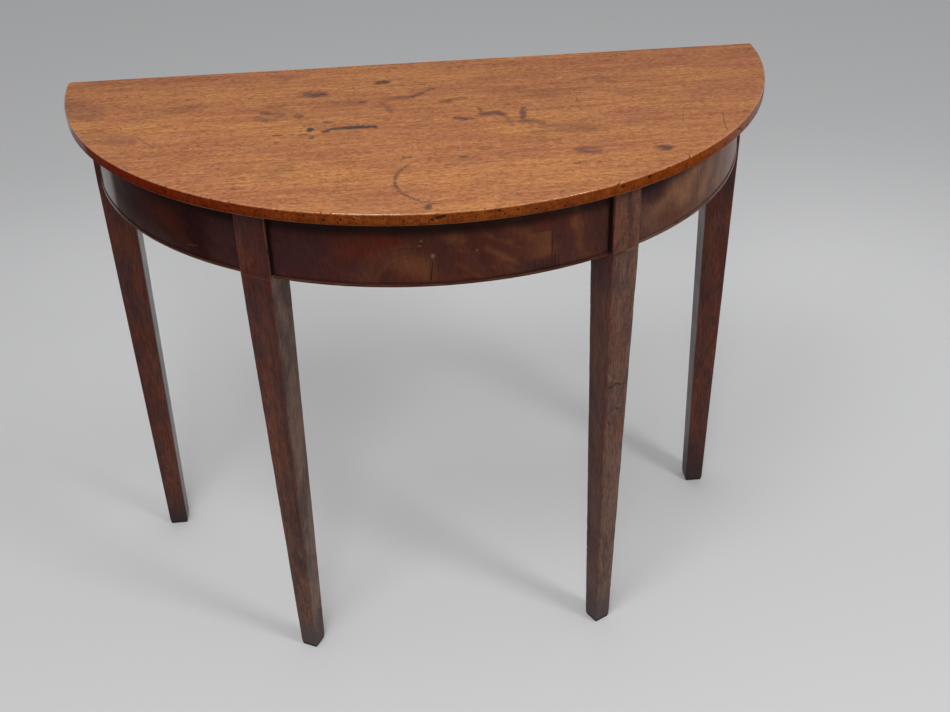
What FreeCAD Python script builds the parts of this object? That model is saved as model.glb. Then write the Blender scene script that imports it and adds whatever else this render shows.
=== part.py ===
# Demilune side table: a half-round top on a bowed, veneered frieze with four square tapered legs.
# Built about the middle of the top's straight back edge, then moved so that the origin lies on the
# floor under the middle of the table. The front faces -Y, +X is to the right and +Z is up.
# Lengths are in millimetres. Angles are in degrees from straight ahead, positive towards +X.
import FreeCAD
import Part
import math
import os

Vector = FreeCAD.Vector
up = Vector(0, 0, 1)

# Top
table_height = 720.0
top_radius = 480.0
top_thickness = 15.0
top_overhang = 29.5        # past the veneered frieze
back_overhang = 50.0       # past the back faces of the back legs

# Frieze
frieze_depth = 93.0
veneer_thickness = 1.5
core_thickness = 26.0
course_count = 3           # layers of core bricks
brick_angle = 36.0         # from one joint to the next in a course
shortest_brick = 15.0      # a joint closer than this to the frieze's end is left out
bead_height = 4.0
bead_let_in = 6.0          # behind the veneer's face
bead_proud = 1.2           # in front of the veneer's face

# Legs
leg_square = 42.0          # stile, and top of the taper
front_foot_square = 24.0
back_foot_square = 27.0
front_foot_set_in = 7.0    # a front foot's middle stands this much further in than its stile's
back_foot_set_in = 2.0
leg_angle = 28.8           # front legs
stile_proud = 8.0          # front stiles in front of the veneer
back_leg_proud = 7.0       # back legs' outer faces past the veneer's ends
bridle_web = 12.0          # core left between the front legs' cheeks
line_depth = 2.0           # inlaid line let into a front stile
line_proud = 0.4

# Mortise and tenon joints in the back legs
frieze_tenon_thickness = 12.0
rail_tenon_thickness = 10.0
rail_tenon_length = 22.0
tenon_shoulder = 8.0       # above and below each tenon
tenon_wall = 3.0           # wood left between the two mortises of a leg
mortise_relief = 1.0       # room past a tenon's end

# Inner rails
rail_thickness = 20.0
rail_set_in = 2.0          # in front of the back legs' back faces
cross_width = 22.0
cross_depth = 50.0
housing_depth = 6.0        # cross rail's ends let into the core and the back rail

# Glue blocks under the top
block_size = 22.0
block_length = 60.0
block_angles = (42.0, 66.0)
block_reach = 260.0        # rail blocks, from the table's middle

# Pocket screws that hold the top
screw_angles = (12.0, 57.0)
screw_reach = 150.0        # rail screws, from the table's middle
screw_tilt = 20.0          # from upright
screw_bite = 9.0           # length in the top
screw_drop = 24.0          # length below the top, down to the head
shank_radius = 2.0
tip_length = 4.0
head_radius = 4.0
head_height = 3.0
pocket_radius = 6.0
pocket_length = 40.0       # long enough to run out of the wood

# Heights
top_underside = table_height - top_thickness
frieze_bottom = top_underside - frieze_depth
bead_top = frieze_bottom + bead_height
course_height = frieze_depth / course_count
frieze_range = (frieze_bottom, top_underside)

# Radii
frieze_radius = top_radius - top_overhang
core_outer = frieze_radius - veneer_thickness
core_inner = core_outer - core_thickness
core_middle = core_inner + core_thickness / 2
bead_inner = frieze_radius - bead_let_in
bead_outer = frieze_radius + bead_proud
front_reach = frieze_radius + stile_proud

# Places of the back legs and rails: y runs from the top's back edge towards the front as minus
back_leg_back = -back_overhang
back_leg_front = back_leg_back - leg_square
back_leg_middle = back_leg_back - leg_square / 2
back_reach = math.sqrt(frieze_radius ** 2 - back_leg_front ** 2) + back_leg_proud
rail_end = back_reach - leg_square
rail_back = back_leg_back - rail_set_in
rail_front = rail_back - rail_thickness
rail_middle = rail_back - rail_thickness / 2
rail_tenon_front = rail_middle - rail_tenon_thickness / 2
rail_tenon_back = rail_middle + rail_tenon_thickness / 2
frieze_end_angle = math.degrees(math.acos(-back_leg_front / core_middle))
tenon_range = (frieze_bottom + tenon_shoulder, top_underside - tenon_shoulder)


def box(x_range, y_range, z_range):
    sizes = [high - low for low, high in (x_range, y_range, z_range)]
    return Part.makeBox(*sizes, Vector(x_range[0], y_range[0], z_range[0]))


def turned(shape, angle):
    return shape.rotated(Vector(), up, angle)


def sector(radius, z_range, start, end):
    low, high = z_range
    slice_from_x = Part.makeCylinder(radius, high - low, Vector(0, 0, low), up, end - start)
    return turned(slice_from_x, start - 90)


def ring(inner, outer, z_range, start, end):
    low, high = z_range
    hole = Part.makeCylinder(inner, high - low, Vector(0, 0, low))
    return sector(outer, z_range, start, end).cut(hole)


# Everything behind the frieze's ends, where the back legs take over
def behind_frieze(z_range):
    return box((-top_radius, top_radius), (back_leg_front, top_radius), z_range)


def square_corners(middle_x, middle_y, side, z):
    half = side / 2
    signs = ((-1, -1), (1, -1), (1, 1), (-1, 1))
    return [Vector(middle_x + i * half, middle_y + j * half, z) for i, j in signs]


def taper(lower, upper):
    loops = [lower, upper]
    for i in range(4):
        loops.append([lower[i], lower[i - 1], upper[i - 1], upper[i]])
    faces = [Part.Face(Part.makePolygon(loop + loop[:1])) for loop in loops]
    solid = Part.Solid(Part.Shell(faces))
    if solid.Volume < 0:
        solid.reverse()
    return solid


# A whole leg whose outer face looks towards -Y
def leg_blank(reach, sideways, foot_square, set_in):
    half = leg_square / 2
    middle = -reach + half
    stile = box((sideways - half, sideways + half), (middle - half, middle + half), frieze_range)
    knee = square_corners(sideways, middle, leg_square, frieze_bottom)
    foot = square_corners(sideways, middle + set_in, foot_square, 0)
    return stile.fuse(taper(foot, knee)).removeSplitter()


def front_leg_blank():
    return leg_blank(front_reach, 0, front_foot_square, front_foot_set_in)


def stile_line():
    half = leg_square / 2
    depth_range = (-front_reach - line_proud, -front_reach + line_depth)
    return box((-half, half), depth_range, (frieze_bottom, bead_top))


# The front legs straddle the core with an open slot
def front_leg():
    slot_range = (-core_middle - bridle_web / 2, -core_middle + bridle_web / 2)
    slot = box((-leg_square, leg_square), slot_range, frieze_range)
    return front_leg_blank().cut([slot, stile_line()])


# The frieze's tenon is as long as the rail's mortise beside it allows
def frieze_tenon(side, relief):
    core_end = [math.sqrt(radius ** 2 - back_leg_front ** 2) for radius in (core_inner, core_outer)]
    middle = side * sum(core_end) / 2
    half = frieze_tenon_thickness / 2
    tenon_end = rail_tenon_front - tenon_wall - mortise_relief
    return box((middle - half, middle + half), (back_leg_front, tenon_end + relief), tenon_range)


def rail_tenon(side, relief):
    tip = rail_end + rail_tenon_length + relief
    x_range = sorted((side * rail_end, side * tip))
    return box(x_range, (rail_tenon_front, rail_tenon_back), tenon_range)


def back_leg(side):
    blank = leg_blank(back_reach, side * back_leg_middle, back_foot_square, back_foot_set_in)
    return turned(blank, side * 90).cut([frieze_tenon(side, mortise_relief), rail_tenon(side, mortise_relief)])


def back_rail():
    rail = box((-rail_end, rail_end), (rail_front, rail_back), frieze_range)
    return rail.fuse([rail_tenon(-1, 0), rail_tenon(1, 0)])


def cross_rail():
    y_range = (-core_inner - housing_depth, rail_front + housing_depth)
    return box((-cross_width / 2, cross_width / 2), y_range, (top_underside - cross_depth, top_underside))


# One full half circle of bead with a low, rounded nose
def bead_strip():
    corners = [
        Vector(frieze_radius, 0, bead_top),
        Vector(bead_inner, 0, bead_top),
        Vector(bead_inner, 0, frieze_bottom),
        Vector(frieze_radius, 0, frieze_bottom),
    ]
    tip = Vector(bead_outer, 0, (frieze_bottom + bead_top) / 2)
    round_nose = Part.Arc(corners[-1], tip, corners[0]).toShape()
    profile = Part.Face(Part.Wire(Part.makePolygon(corners).Edges + [round_nose]))
    return profile.revolve(Vector(), up, -180)


# A screw that leans into the table at its foot, with its axis through the middle of the wood above
def pocket_screw(wood_middle):
    lean = math.radians(screw_tilt)
    along = Vector(0, -math.sin(lean), math.cos(lean))
    entry = Vector(0, -wood_middle, top_underside)
    seat = entry - along * screw_drop
    shank_length = screw_drop + screw_bite - tip_length
    head = Part.makeCylinder(head_radius, head_height, seat, -along)
    shank = Part.makeCylinder(shank_radius, shank_length, seat, along)
    tip = Part.makeCone(shank_radius, 0, tip_length, seat + along * shank_length, along)
    pocket = Part.makeCylinder(pocket_radius, pocket_length, seat, -along)
    return head.fuse([shank, tip]), pocket


def screws_and_pockets():
    pairs = []
    for angle in screw_angles:
        for side in (-1, 1):
            pairs.append([turned(shape, side * angle) for shape in pocket_screw(core_middle)])
    for side in (-1, 1):
        # in the back rail the pocket opens towards the front, so the screw is turned about
        half_turn = [turned(shape, 180) for shape in pocket_screw(rail_middle)]
        pairs.append([shape.translated(Vector(side * screw_reach, 0, 0)) for shape in half_turn])
    return [pair[0] for pair in pairs], [pair[1] for pair in pairs]


def joint_angles(course):
    shift = brick_angle / 2 if course % 2 == 0 else 0
    limit = frieze_end_angle - shortest_brick
    steps = range(-int(limit / brick_angle) - 1, int(limit / brick_angle) + 2)
    joints = [step * brick_angle + shift for step in steps]
    return [-90] + [angle for angle in joints if abs(angle) < limit] + [90]


def frieze_bricks(cutters):
    bricks = {}
    for course in range(course_count):
        low = frieze_bottom + course * course_height
        course_range = (low, low + course_height)
        ends = [frieze_tenon(side, 0).common(sector(top_radius, course_range, -180, 180)) for side in (-1, 1)]
        joints = joint_angles(course)
        for number, (start, end) in enumerate(zip(joints, joints[1:]), 1):
            brick = ring(core_inner, core_outer, course_range, start, end)
            brick = brick.cut([behind_frieze(course_range)] + cutters)
            if start == -90:
                brick = brick.fuse(ends[0])
            if end == 90:
                brick = brick.fuse(ends[1])
            bricks["frieze_brick_%d_%d" % (course + 1, number)] = brick.removeSplitter()
    return bricks


def frieze_glue_block(angle):
    half = block_length / 2
    low = top_underside - block_size
    blank = box((-half, half), (-core_inner, -core_inner + block_size), (low, top_underside))
    inside = Part.makeCylinder(core_inner, block_size, Vector(0, 0, low))
    return turned(blank.common(inside), angle)


def rail_glue_block(side):
    middle = side * block_reach
    half = block_length / 2
    y_range = (rail_front - block_size, rail_front)
    return box((middle - half, middle + half), y_range, (top_underside - block_size, top_underside))


def build():
    nodes = {}
    screws, pockets = screws_and_pockets()
    nodes["top"] = sector(top_radius, (top_underside, table_height), -90, 90).cut(screws)

    front_legs = {"left": turned(front_leg(), -leg_angle), "right": turned(front_leg(), leg_angle)}
    for name, shape in front_legs.items():
        nodes["leg_front_" + name] = shape
    nodes["leg_back_left"] = back_leg(-1)
    nodes["leg_back_right"] = back_leg(1)
    nodes["stile_line_left"] = turned(stile_line(), -leg_angle)
    nodes["stile_line_right"] = turned(stile_line(), leg_angle)

    bead = bead_strip()
    core_cutters = list(front_legs.values()) + [bead, cross_rail()] + screws + pockets
    nodes.update(frieze_bricks(core_cutters))

    panels = {
        "left": (-90, -leg_angle),
        "centre": (-leg_angle, leg_angle),
        "right": (leg_angle, 90),
    }
    stiles = [turned(front_leg_blank(), side * leg_angle) for side in (-1, 1)]
    trim = stiles + [behind_frieze(frieze_range)]
    for name, (start, end) in panels.items():
        sheet = ring(core_outer, frieze_radius, (bead_top, top_underside), start, end)
        nodes["veneer_" + name] = sheet.cut(trim)
        nodes["bead_" + name] = bead.common(sector(top_radius, frieze_range, start, end)).cut(trim)

    nodes["back_rail"] = back_rail().cut([cross_rail()] + screws + pockets)
    nodes["cross_rail"] = cross_rail()
    for number, angle in enumerate(block_angles, 1):
        nodes["glue_block_left_%d" % number] = frieze_glue_block(-angle)
        nodes["glue_block_right_%d" % number] = frieze_glue_block(angle)
    nodes["glue_block_rail_left"] = rail_glue_block(-1)
    nodes["glue_block_rail_right"] = rail_glue_block(1)
    nodes["top_screws"] = Part.makeCompound(screws)
    return nodes


os.makedirs("parts", exist_ok=True)
to_origin = Vector(0, top_radius / 2, 0)
for node, shape in build().items():
    shape.translated(to_origin).exportStep("parts/%s.step" % node)
    print("%-22s solids %d  volume %10.1f  valid %s" % (node, len(shape.Solids), shape.Volume, shape.isValid()))
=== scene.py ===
import bpy
import math
import random
from functools import reduce
from mathutils import Matrix, Vector, noise


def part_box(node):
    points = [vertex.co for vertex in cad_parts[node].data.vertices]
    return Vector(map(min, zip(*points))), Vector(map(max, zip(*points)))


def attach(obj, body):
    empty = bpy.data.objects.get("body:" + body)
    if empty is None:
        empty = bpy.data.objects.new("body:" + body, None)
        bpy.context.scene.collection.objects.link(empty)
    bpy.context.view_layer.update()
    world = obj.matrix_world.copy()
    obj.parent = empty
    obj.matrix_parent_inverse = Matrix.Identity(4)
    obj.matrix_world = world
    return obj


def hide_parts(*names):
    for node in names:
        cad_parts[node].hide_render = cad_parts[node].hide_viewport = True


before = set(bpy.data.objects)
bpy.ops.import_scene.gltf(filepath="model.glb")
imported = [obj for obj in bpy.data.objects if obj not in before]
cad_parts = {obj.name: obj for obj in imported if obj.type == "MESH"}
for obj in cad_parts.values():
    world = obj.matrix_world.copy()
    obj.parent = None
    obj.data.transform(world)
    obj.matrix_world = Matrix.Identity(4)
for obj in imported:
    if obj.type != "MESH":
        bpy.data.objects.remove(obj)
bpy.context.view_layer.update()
print("frame loaded:", len(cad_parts), "nodes")

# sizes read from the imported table; the half circle's middle lies on the straight back edge
topLow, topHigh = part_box("top")
topRadius = (topHigh.x - topLow.x) / 2
backY = topHigh.y
topZ = topHigh.z
underside = topLow.z
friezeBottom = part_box("bead_centre")[0].z
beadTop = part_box("veneer_centre")[0].z
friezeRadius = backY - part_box("veneer_centre")[0].y
middle = Vector((0, backY))


# node helpers, for shader and geometry trees alike; a new node joins the tree of the sockets it takes

def isSocket(value):
    return isinstance(value, bpy.types.NodeSocket)


def fill(node, values):
    for key, value in values.items():
        if isSocket(value):
            node.id_data.links.new(value, node.inputs[key])
        else:
            node.inputs[key].default_value = value


def addNode(kind, inputs, tree=None, **settings):
    if tree is None:
        tree = next(value.id_data for value in inputs.values() if isSocket(value))
    node = tree.nodes.new(kind)
    for name, value in settings.items():
        setattr(node, name, value)
    fill(node, inputs)
    return node


def maths(operation, *values, clamp=False):
    node = addNode("ShaderNodeMath", dict(enumerate(values)), operation=operation, use_clamp=clamp)
    return node.outputs[0]


def times(*values):
    return reduce(lambda first, second: maths("MULTIPLY", first, second), values)


def largest(*values):
    return reduce(lambda first, second: maths("MAXIMUM", first, second), values)


def minus(first, second):
    return maths("SUBTRACT", first, second)


def vecMaths(operation, *values):
    node = addNode("ShaderNodeVectorMath", dict(enumerate(values)), operation=operation)
    return node.outputs["Value" if operation in ("LENGTH", "DISTANCE", "DOT_PRODUCT") else "Vector"]


def scaled(vector, factor):
    return addNode("ShaderNodeVectorMath", {"Vector": vector, "Scale": factor}, operation="SCALE").outputs[0]


def stretched(vector, factors):
    return vecMaths("MULTIPLY", vector, factors)


def separate(vector):
    return addNode("ShaderNodeSeparateXYZ", {0: vector}).outputs


def combine(x=0, y=0, z=0):
    return addNode("ShaderNodeCombineXYZ", {0: x, 1: y, 2: z}).outputs[0]


def mapRange(value, low, high, toLow=0, toHigh=1, smooth=True):
    node = addNode("ShaderNodeMapRange", {0: value, 1: low, 2: high, 3: toLow, 4: toHigh})
    node.interpolation_type = "SMOOTHSTEP" if smooth else "LINEAR"
    node.clamp = not smooth
    return node.outputs[0]


def rising(value, low, high, most):
    return mapRange(value, low, high, 0, most)


def falling(value, low, high, most=1):
    return mapRange(value, low, high, most, 0)


# three scales stretch the pattern
def noiseOf(vector, scale, detail=2, roughness=0.5, distortion=0, output=0):
    if isinstance(scale, tuple):
        vector, scale = stretched(vector, scale), 1
    values = {"Vector": vector, "Scale": scale, "Detail": detail, "Roughness": roughness,
              "Distortion": distortion}
    return addNode("ShaderNodeTexNoise", values).outputs[output]


# noise that swings about zero, and a place that it shakes and lays flat
def shakeOf(vector, scale, detail):
    return vecMaths("SUBTRACT", noiseOf(vector, scale, detail, output="Color"), (0.5, 0.5, 0.5))


def shaken(place, shake, amount):
    return stretched(vecMaths("ADD", place, scaled(shake, amount)), (1, 1, 0))


def mixColour(factor, first, second, blend="MIX"):
    first, second = [value if isSocket(value) else (*value, 1) for value in (first, second)]
    values = {0: factor, 6: first, 7: second}
    return addNode("ShaderNodeMix", values, data_type="RGBA", blend_type=blend, clamp_factor=True).outputs[2]


# a colour and the layers that go over it, each through its mask
class Paint:
    def __init__(self, mask, first, second):
        self.colour = mixColour(mask, first, second)

    def lay(self, mask, shade):
        self.colour = mixColour(mask, self.colour, shade)

    def deepen(self, mask, shade):
        self.colour = mixColour(mask, self.colour, shade, "MULTIPLY")


def floats(*labels):
    return [(label, "Float") for label in labels]


def newGroup(name, kind, inputs, outputs):
    group = bpy.data.node_groups.new(name, kind)
    for way, sockets in (("INPUT", inputs), ("OUTPUT", outputs)):
        for label, socketType, *default in sockets:
            socket = group.interface.new_socket(label, in_out=way, socket_type="NodeSocket" + socketType)
            if default:
                socket.default_value = default[0]
    start = group.nodes.new("NodeGroupInput")
    end = group.nodes.new("NodeGroupOutput")
    return group, start.outputs, end


def groupNode(group, values):
    return addNode("ShaderNodeGroup", values, node_tree=group).outputs


def newMaterial(name):
    material = bpy.data.materials.new(name)
    material.use_nodes = True
    tree = material.node_tree
    place = addNode("ShaderNodeTexCoord", {}, tree).outputs["Object"]
    return material, tree.nodes["Principled BSDF"], place


def attribute(place, name):
    return addNode("ShaderNodeAttribute", {}, place.id_data, attribute_name=name).outputs["Fac"]


def bumpOf(height, strength, distance):
    values = {"Height": height, "Strength": strength, "Distance": distance}
    return addNode("ShaderNodeBump", values).outputs[0]


def finishWood(shader, wood, gloss, specular, normal, polish=0, polishRoughness=0.03):
    fill(shader, {
        "Base Color": wood.colour, "Roughness": gloss, "Specular IOR Level": specular, "Normal": normal,
        "Coat Weight": polish, "Coat Roughness": polishRoughness})


# angle round the bow from straight ahead
def bowTurn(x, y):
    return maths("ARCTAN2", x, minus(backY, y))


# shared effects; a Vector runs along the grain in X, in metres

def makeGrain():
    group, given, result = newGroup(
        "woodGrain", "ShaderNodeTree",
        [("Vector", "Vector"), ("Band Scale", "Float", 1), ("Fibre Scale", "Float", 1),
         ("Waviness", "Float", 0.006)],
        floats("Bands", "Fibres", "Pores", "Height"))
    drift = stretched(shakeOf(given["Vector"], (1.6, 4, 4), 2), (0, 1, 1))
    grain = vecMaths("ADD", given["Vector"], scaled(drift, given["Waviness"]))
    wide = scaled(grain, given["Band Scale"])
    fine = scaled(grain, given["Fibre Scale"])
    bands = noiseOf(wide, (1.3, 34, 34), 4, 0.6)
    strands = noiseOf(fine, (24, 250, 250), 3, 0.7)
    dashes = noiseOf(fine, (48, 420, 420), 1)
    crowd = noiseOf(wide, (5, 60, 60), 1)
    poreEdge = maths("MULTIPLY_ADD", crowd, -0.26, 0.73)
    pores = mapRange(minus(dashes, poreEdge), 0, 0.07)
    fibres = mapRange(strands, 0.3, 0.7)
    fill(result, {
        "Bands": mapRange(bands, 0.3, 0.7), "Fibres": fibres, "Pores": pores,
        "Height": maths("MULTIPLY_ADD", pores, -1, times(fibres, 0.35))})
    return group


def makeMark():
    group, given, result = newGroup(
        "strokeMark", "ShaderNodeTree",
        [("Vector", "Vector"), ("Start", "Vector"), ("End", "Vector"), *floats("Width", "Softness")],
        floats("Mask"))
    run = vecMaths("SUBTRACT", given["End"], given["Start"])
    reach = vecMaths("SUBTRACT", given["Vector"], given["Start"])
    length = largest(vecMaths("DOT_PRODUCT", run, run), 1e-9)
    share = maths("DIVIDE", vecMaths("DOT_PRODUCT", reach, run), length)
    share = maths("MINIMUM", largest(share, 0), 1)
    gap = vecMaths("DISTANCE", reach, scaled(run, share))
    inner = times(given["Width"], minus(1, given["Softness"]))
    outer = times(given["Width"], maths("ADD", 1, given["Softness"]))
    fill(result, {"Mask": falling(gap, inner, outer)})
    return group


def makeWear():
    group, given, result = newGroup(
        "arrisWear", "ShaderNodeTree", [("Vector", "Vector"), *floats("Arris", "Amount")], floats("Mask"))
    patches = noiseOf(given["Vector"], 26, 3, 0.65)
    edge = minus(1, given["Amount"])
    worn = mapRange(patches, minus(edge, 0.12), maths("ADD", edge, 0.12))
    fill(result, {"Mask": times(worn, given["Arris"])})
    return group


grainGroup = makeGrain()
markGroup = makeMark()
wearGroup = makeWear()
print("shared wood effects made")


# top material: worn mahogany with ink, a ring and smears laid out in plan
topMarks = {
    # in millimetres: start x and y, end x and y, width; then strength
    "ink": [
        (-130.5, 9, -126.2, 9.6, 4, 0.9), (-127, 12.5, -121.8, 15.4, 3, 0.8),
        (-121.8, 15.4, -104.3, 17, 4.2, 0.85), (-104.3, 16.5, -84, 15.8, 5.2, 1),
        (-84, 15.8, -66.8, 14.4, 3.9, 0.95), (-149, 15, -147.8, 19.5, 4.7, 0.95),
        (-146.5, -10, -145.8, -7.5, 3.3, 0.7), (-159, 2.9, -154.1, 3.4, 2.6, 0.65),
        (-172.6, 4.8, -168.9, 4.8, 2.2, 0.5), (-192.4, 5, -185, 5.1, 3, 0.75),
        (-190.5, -18.3, -187.5, -18.8, 2.6, 0.55), (-130, 39.5, -122, 38.5, 2.8, 0.65),
        (-81.1, 101.1, -77.2, 101.2, 3.8, 0.75), (-18, -226.5, -17, -222.5, 4.3, 0.8),
        (-37.3, -86, -28.9, -86.1, 2.6, 0.65), (31.9, -94.1, 37.3, -94.1, 2.6, 0.75),
        (160.5, -133.7, 167.5, -134.2, 2.4, 0.6), (-204.5, 81.2, -201.5, 80.8, 3, 0.55),
        (-190.5, 67.2, -184, 66.8, 2.6, 0.55), (-166, 63.5, -160, 63, 3, 0.5),
        (-234.5, -143.5, -233.5, -143.5, 2.6, 0.5), (-310, 146, -309, 146, 1.8, 0.6),
        (-318, 47, -317, 47, 1.8, 0.6), (-352, -41, -351, -41, 1.8, 0.6),
    ],
    "stain": [
        (-149, 139.5, -135, 137.5, 10.5, 0.9), (-53.5, 167.9, -47.5, 167.8, 6.8, 0.9),
        (-58.3, 98.5, -49.8, 85, 4, 0.4), (-49.8, 85, -44.7, 56.4, 4, 0.4),
        (-43.6, 105.4, -14.4, 109.6, 5.5, 0.5), (-14.4, 109.6, -1.9, 118.5, 4.5, 0.75),
        (-1.9, 118.5, 14, 134.4, 4, 0.5), (24, 85.4, 32.7, 87.6, 6, 0.7),
        (32.7, 87.6, 55.1, 94.7, 5, 0.45), (36.2, 25.4, 47.5, 22.9, 4.8, 0.8),
        (47.5, 22.9, 55.1, 23.4, 4, 0.55), (70, 55.1, 70.3, 34.4, 3, 0.55),
        (70.3, 34.4, 88.6, 36.6, 6.8, 0.7), (88.6, 36.6, 96.8, 30.2, 5.5, 0.75),
        (96.8, 30.2, 102.2, 12.4, 4, 0.55), (102.2, 12.4, 105.1, -4.6, 3.5, 0.4),
        (124.9, 47.9, 119.5, 13, 3.8, 0.7), (120, 2.9, 140.4, -5.3, 7.8, 0.55),
        (146.6, -14.5, 160.6, -29.7, 6, 0.42), (178.5, -97, 189, -100, 10.5, 0.6),
        (268.5, -103.5, 280.5, -105.7, 7.2, 0.85), (150, -20, 200, -34, 14, 0.35),
        (-207.3, 80.9, -184.1, 75.5, 6, 0.5), (-215.7, 66.9, -198.9, 57.5, 8.5, 0.5),
        (-201.5, 102.6, -188.5, 100.5, 5.5, 0.45), (-164.8, 67.2, -159.6, 64.7, 5, 0.55),
        (-330, 110, -295, 118, 11, 0.35), (-191.5, -109.9, -175.6, -95.3, 11, 0.25),
        (59.8, -74, 67.1, -73.6, 5.5, 0.42), (-470, 150, -440, 120, 24, 0.38),
        (-420, 40, -380, 20, 18, 0.28), (112, 112.7, 135, 116.3, 5, 0.3),
        (-123.5, 109.5, -85.8, 99.7, 4.5, 0.3), (125.1, -33, 137.7, -31.8, 4, 0.4),
        (-5.6, 27.1, 4.6, 27.5, 3.5, 0.42),
    ],
    "scratch": [
        (372, -8, 365.5, -40, 1, 0.55), (365.5, -40, 363, -63, 1, 0.55),
        (324, 3, 314, -35, 0.8, 0.35), (-364, 29, -339, -10, 1.1, 0.4),
        (198.2, 73.1, 198.3, 58.8, 0.9, 0.6), (198.3, 58.8, 202.2, 58.2, 0.9, 0.5),
        (230, 150, 262, 118, 0.8, 0.3),
    ],
    "ring": {"middle": (0.016, -0.155, 0.0), "radius": 0.0665, "width": 0.0021,
             "from": 128, "to": 262, "fade": 0.25},
}


def strokes(place, marks, softness):
    total = None
    for *millimetres, strength in marks:
        startX, startY, endX, endY, width = [value / 1000 for value in millimetres]
        values = {"Vector": place, "Start": (startX, startY, 0), "End": (endX, endY, 0), "Width": width,
                  "Softness": softness}
        mask = times(groupNode(markGroup, values)["Mask"], strength)
        total = mask if total is None else largest(total, mask)
    return total


def ringMark(place, ring):
    flat = vecMaths("SUBTRACT", place, ring["middle"])
    gap = maths("ABSOLUTE", minus(vecMaths("LENGTH", flat), ring["radius"]))
    line = falling(gap, ring["width"] * 0.5, ring["width"] * 1.6)
    x, y, _ = separate(flat)
    turn = maths("WRAP", maths("ARCTAN2", y, x), 2 * math.pi, 0)
    first, last = math.radians(ring["from"]), math.radians(ring["to"])
    start = mapRange(turn, first, first + ring["fade"])
    return times(line, start, falling(turn, last - ring["fade"], last))


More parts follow.
